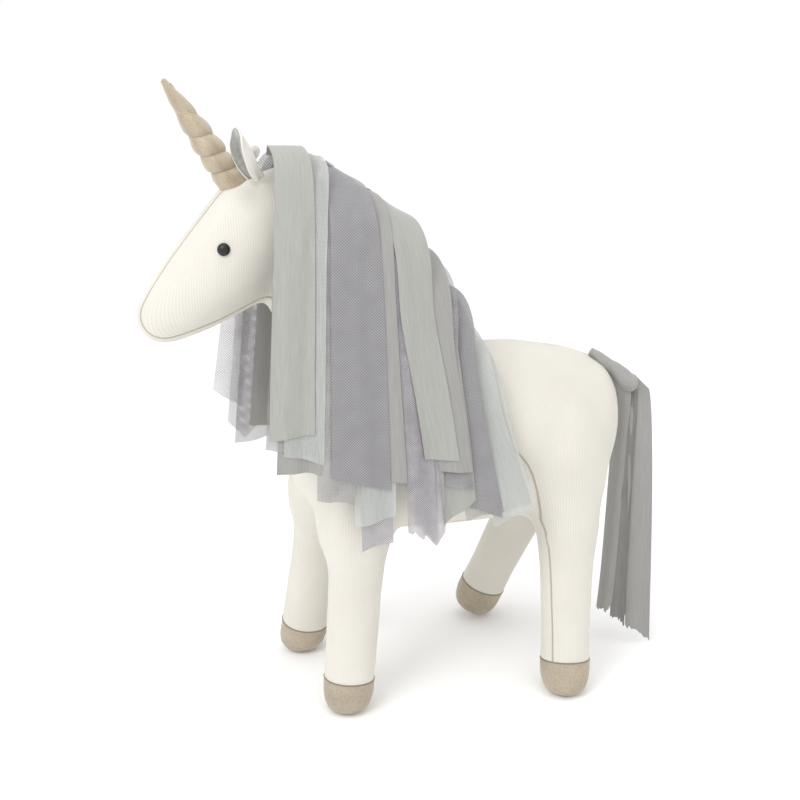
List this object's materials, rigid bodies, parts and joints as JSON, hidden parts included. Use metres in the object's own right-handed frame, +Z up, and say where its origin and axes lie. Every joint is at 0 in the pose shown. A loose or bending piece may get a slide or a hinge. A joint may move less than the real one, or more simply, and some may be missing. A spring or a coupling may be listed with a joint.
{
  "type": "plush unicorn",
  "caption": "Standing stuffed unicorn in cream jersey with a thread-wound fabric horn, lined ears, beige hooves and a hanging mane and tail of sheer fabric locks.",
  "frame": {"origin": "on the floor, under the middle of the whole outline", "axes": "+Z up; the unicorn faces -X; its left side is -Y; the body mid-plane is y = 3 mm"},
  "size_m": [0.3319, 0.1505, 0.3842],
  "materials": {
    "jersey": "ribbed cream cotton jersey",
    "fibre": "polyester fibre filling",
    "linen": "beige linen felt",
    "satin": "gold beige satin",
    "velvet": "grey velvet",
    "plastic": "gloss black",
    "chiffon": "grey green chiffon",
    "tulle": "lilac grey tulle",
    "thread": "beige thread"
  },
  "bodies": {
    "torso": {"torso_left_panel": "jersey", "torso_right_panel": "jersey", "belly_gusset": "jersey", "torso_filling": "fibre"},
    "neck_head": {"head_left_panel": "jersey", "head_right_panel": "jersey", "head_gusset": "jersey", "head_filling": "fibre", "eye_left": "plastic", "eye_left_washer": "plastic", "eye_right": "plastic", "eye_right_washer": "plastic", "horn_cover": "satin", "horn_filling": "fibre", "horn_thread": "thread", "mane_tape": "chiffon"},
    "ear_left": {"ear_left_outer": "jersey", "ear_left_lining": "velvet"},
    "ear_right": {"ear_right_outer": "jersey", "ear_right_lining": "velvet"},
    "leg_front_left": {"leg_front_left_outer_panel": "jersey", "leg_front_left_inner_panel": "jersey", "leg_front_left_filling": "fibre", "hoof_front_left": "linen"},
    "leg_front_right": {"leg_front_right_outer_panel": "jersey", "leg_front_right_inner_panel": "jersey", "leg_front_right_filling": "fibre", "hoof_front_right": "linen"},
    "leg_rear_left": {"leg_rear_left_outer_panel": "jersey", "leg_rear_left_inner_panel": "jersey", "leg_rear_left_filling": "fibre", "hoof_rear_left": "linen"},
    "leg_rear_right": {"leg_rear_right_outer_panel": "jersey", "leg_rear_right_inner_panel": "jersey", "leg_rear_right_filling": "fibre", "hoof_rear_right": "linen"},
    "mane_left_front": {"mane_left_front": "chiffon"},
    "mane_left_middle": {"mane_left_middle": "tulle"},
    "mane_left_rear": {"mane_left_rear": "tulle"},
    "mane_left_withers": {"mane_left_withers": "chiffon"},
    "mane_right_front": {"mane_right_front": "chiffon"},
    "mane_right_middle": {"mane_right_middle": "tulle"},
    "mane_right_rear": {"mane_right_rear": "tulle"},
    "mane_right_withers": {"mane_right_withers": "chiffon"},
    "tail_wrap": {"tail_wrap": "tulle"},
    "tail_locks": {"tail_lock_outer": "chiffon", "tail_lock_middle": "chiffon", "tail_lock_inner": "chiffon"}
  },
  "joints": [
    {"name": "neck_nod", "type": "hinge", "parent": "torso", "child": "neck_head", "pos_m": [-0.028, 0.003, 0.208], "axis": [0, 1, 0], "range_deg": [-6, 6], "stiffness_Nm_per_rad": 3},
    {"name": "leg_front_left_flex", "type": "hinge", "parent": "torso", "child": "leg_front_left", "pos_m": [-0.041, -0.027, 0.108], "axis": [0, 1, 0], "range_deg": [-10, 10], "stiffness_Nm_per_rad": 1.5},
    {"name": "leg_front_right_flex", "type": "hinge", "parent": "torso", "child": "leg_front_right", "pos_m": [-0.048, 0.033, 0.108], "axis": [0, 1, 0], "range_deg": [-10, 10], "stiffness_Nm_per_rad": 1.5},
    {"name": "leg_rear_left_flex", "type": "hinge", "parent": "torso", "child": "leg_rear_left", "pos_m": [0.097, -0.031, 0.108], "axis": [0, 1, 0], "range_deg": [-10, 10], "stiffness_Nm_per_rad": 1.5},
    {"name": "leg_rear_right_flex", "type": "hinge", "parent": "torso", "child": "leg_rear_right", "pos_m": [0.104, 0.039, 0.108], "axis": [0, 1, 0], "range_deg": [-10, 10], "stiffness_Nm_per_rad": 1.5},
    {"name": "ear_left_fold", "type": "hinge", "parent": "neck_head", "child": "ear_left", "pos_m": [-0.0905, -0.016, 0.3335], "axis": [0.5522, -0.8177, 0.1628], "range_deg": [-10, 10], "stiffness_Nm_per_rad": 0.02},
    {"name": "ear_right_fold", "type": "hinge", "parent": "neck_head", "child": "ear_right", "pos_m": [-0.094, 0.0225, 0.3325], "axis": [0.7792, -0.3746, 0.5025], "range_deg": [-10, 10], "stiffness_Nm_per_rad": 0.02},
    {"name": "mane_left_front_lift", "type": "hinge", "parent": "neck_head", "child": "mane_left_front", "pos_m": [-0.0673, 0.001, 0.3405], "axis": [-1, 0, 0], "range_deg": [0, 40]},
    {"name": "mane_left_middle_lift", "type": "hinge", "parent": "neck_head", "child": "mane_left_middle", "pos_m": [-0.0299, 0.001, 0.3265], "axis": [-1, 0, 0], "range_deg": [0, 40]},
    {"name": "mane_left_rear_lift", "type": "hinge", "parent": "neck_head", "child": "mane_left_rear", "pos_m": [-0.0039, 0.001, 0.2895], "axis": [-1, 0, 0], "range_deg": [0, 40]},
    {"name": "mane_left_withers_lift", "type": "hinge", "parent": "neck_head", "child": "mane_left_withers", "pos_m": [0.019, 0.001, 0.248], "axis": [-1, 0, 0], "range_deg": [0, 40]},
    {"name": "mane_right_front_lift", "type": "hinge", "parent": "neck_head", "child": "mane_right_front", "pos_m": [-0.0673, 0.005, 0.3405], "axis": [1, 0, 0], "range_deg": [0, 12]},
    {"name": "mane_right_middle_lift", "type": "hinge", "parent": "neck_head", "child": "mane_right_middle", "pos_m": [-0.0299, 0.005, 0.3265], "axis": [1, 0, 0], "range_deg": [0, 40]},
    {"name": "mane_right_rear_lift", "type": "hinge", "parent": "neck_head", "child": "mane_right_rear", "pos_m": [-0.0039, 0.005, 0.2895], "axis": [1, 0, 0], "range_deg": [0, 40]},
    {"name": "mane_right_withers_lift", "type": "hinge", "parent": "neck_head", "child": "mane_right_withers", "pos_m": [0.019, 0.005, 0.248], "axis": [1, 0, 0], "range_deg": [0, 40]},
    {"name": "tail_lift", "type": "hinge", "parent": "torso", "child": "tail_wrap", "pos_m": [0.1225, 0, 0.2128], "axis": [0, -1, 0], "range_deg": [0, 45]},
    {"name": "tail_swing", "type": "hinge", "parent": "tail_wrap", "child": "tail_locks", "pos_m": [0.15, -0.0125, 0.186], "axis": [1, 0, 0], "range_deg": [-30, 30]}
  ]
}
